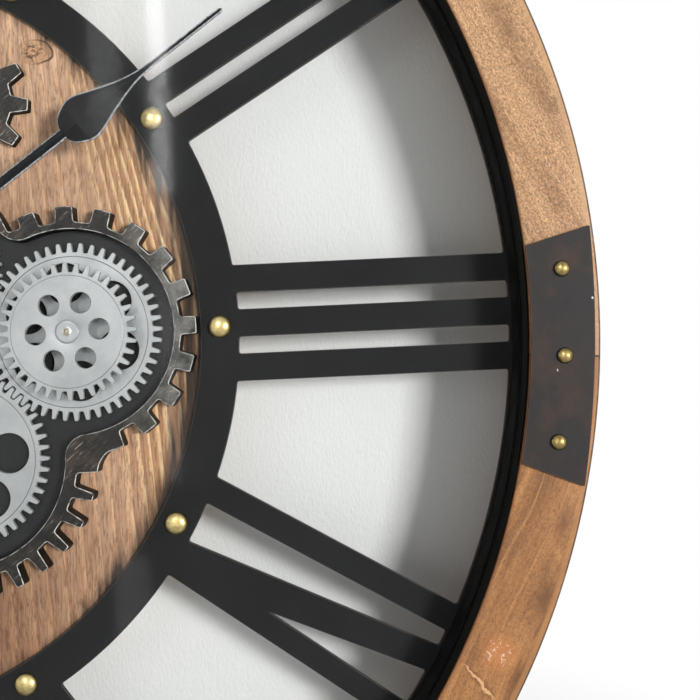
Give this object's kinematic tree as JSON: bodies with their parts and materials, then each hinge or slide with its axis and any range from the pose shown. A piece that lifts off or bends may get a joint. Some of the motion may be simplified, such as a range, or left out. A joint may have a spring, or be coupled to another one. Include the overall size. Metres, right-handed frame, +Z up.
{
  "type": "gear wall clock",
  "caption": "Round wall clock: wooden rim with dark joint plates, cut metal Roman dial behind glass, and a tray of turning gears on a round board.",
  "frame": {"origin": "on the axis of the hands, half way through the depth", "axes": "+Z up, towards the 12; +X right, towards the 3; -Y out of the face, +Y into the wall"},
  "size_m": [0.7996, 0.0596, 0.7996],
  "materials": {
    "rim_wood": "fir, oiled, darkened along the edges",
    "board_wood": "burnt and brushed fir, upright grain",
    "dark_plate": "dark patina, worn",
    "dial_black": "satin black powder coat",
    "hand_black": "black paint, edges worn bright",
    "tray_dark": "dark cast metal, edges worn bright",
    "gear_silver": "silver paint, satin",
    "brass": "aged, satin",
    "steel": "brushed",
    "rubber": "matt black",
    "black_plastic": "moulded, fine grain",
    "cell_jacket": "plain sleeve",
    "clear_glass": "clear"
  },
  "bodies": {
    "clock_case": {"rim_upper_right": "rim_wood", "rim_upper_left": "rim_wood", "rim_lower_left": "rim_wood", "rim_lower_right": "rim_wood", "centre_board": "board_wood", "plate_right": "dark_plate", "plate_top": "dark_plate", "plate_left": "dark_plate", "plate_bottom": "dark_plate", "dial_plate": "dial_black", "gear_tray": "tray_dark", "fixed_gear_upper": "tray_dark", "fixed_gear_lower": "tray_dark", "plate_tack_right_1": "brass", "plate_tack_right_2": "brass", "plate_tack_right_3": "brass", "plate_tack_top_1": "brass", "plate_tack_top_2": "brass", "plate_tack_top_3": "brass", "plate_tack_left_1": "brass", "plate_tack_left_2": "brass", "plate_tack_left_3": "brass", "plate_tack_bottom_1": "brass", "plate_tack_bottom_2": "brass", "plate_tack_bottom_3": "brass", "dial_tack_1": "brass", "dial_tack_2": "brass", "dial_tack_3": "brass", "dial_tack_4": "brass", "dial_tack_5": "brass", "dial_tack_6": "brass", "dial_tack_7": "brass", "dial_tack_8": "brass", "dial_tack_9": "brass", "dial_tack_10": "brass", "dial_tack_11": "brass", "dial_tack_12": "brass", "fixing_nut": "brass", "axle_right": "steel", "axle_centre": "steel", "axle_left": "steel", "hanger_plate": "steel", "glass_gasket": "rubber", "movement_case": "black_plastic", "drive_case": "black_plastic", "clock_cell": "cell_jacket", "drive_cell": "cell_jacket", "glass": "clear_glass"},
    "minute_hand_set": {"minute_hand": "hand_black", "minute_arbor": "steel", "hand_cap": "hand_black"},
    "hour_hand_set": {"hour_hand": "hand_black", "hour_pipe": "brass"},
    "setting_knob": {"setting_knob": "black_plastic"},
    "gear_right": {"gear_right_rear": "gear_silver", "gear_right_front": "gear_silver"},
    "gear_lower": {"gear_lower": "gear_silver", "drive_shaft": "steel"},
    "gear_centre": {"gear_centre": "gear_silver"},
    "gear_left": {"gear_left": "gear_silver"}
  },
  "joints": [
    {"name": "minute_turn", "type": "hinge", "parent": "clock_case", "child": "minute_hand_set", "pos_m": [0, 0, 0], "axis": [0, 1, 0], "continuous": true},
    {"name": "hour_turn", "type": "hinge", "parent": "clock_case", "child": "hour_hand_set", "pos_m": [0, 0, 0], "axis": [0, 1, 0], "continuous": true},
    {"name": "knob_turn", "type": "hinge", "parent": "clock_case", "child": "setting_knob", "pos_m": [0.014, 0, 0.014], "axis": [0, 1, 0], "continuous": true},
    {"name": "gear_right_turn", "type": "hinge", "parent": "clock_case", "child": "gear_right", "pos_m": [0.13227, 0, -0.00047], "axis": [0, 1, 0], "continuous": true},
    {"name": "gear_lower_turn", "type": "hinge", "parent": "clock_case", "child": "gear_lower", "pos_m": [0.07098, 0, -0.06439], "axis": [0, 1, 0], "continuous": true},
    {"name": "gear_centre_turn", "type": "hinge", "parent": "clock_case", "child": "gear_centre", "pos_m": [0.05016, 0, 0.0327], "axis": [0, 1, 0], "continuous": true},
    {"name": "gear_left_turn", "type": "hinge", "parent": "clock_case", "child": "gear_left", "pos_m": [-0.03705, 0, 0.04808], "axis": [0, 1, 0], "continuous": true}
  ],
  "couplings": [
    {"joint": "hour_turn", "follows": "minute_turn", "ratio": 0.083333},
    {"joint": "knob_turn", "follows": "minute_turn", "ratio": -1},
    {"joint": "gear_lower_turn", "follows": "gear_right_turn", "ratio": -1},
    {"joint": "gear_centre_turn", "follows": "gear_right_turn", "ratio": -1},
    {"joint": "gear_left_turn", "follows": "gear_right_turn", "ratio": 1}
  ]
}
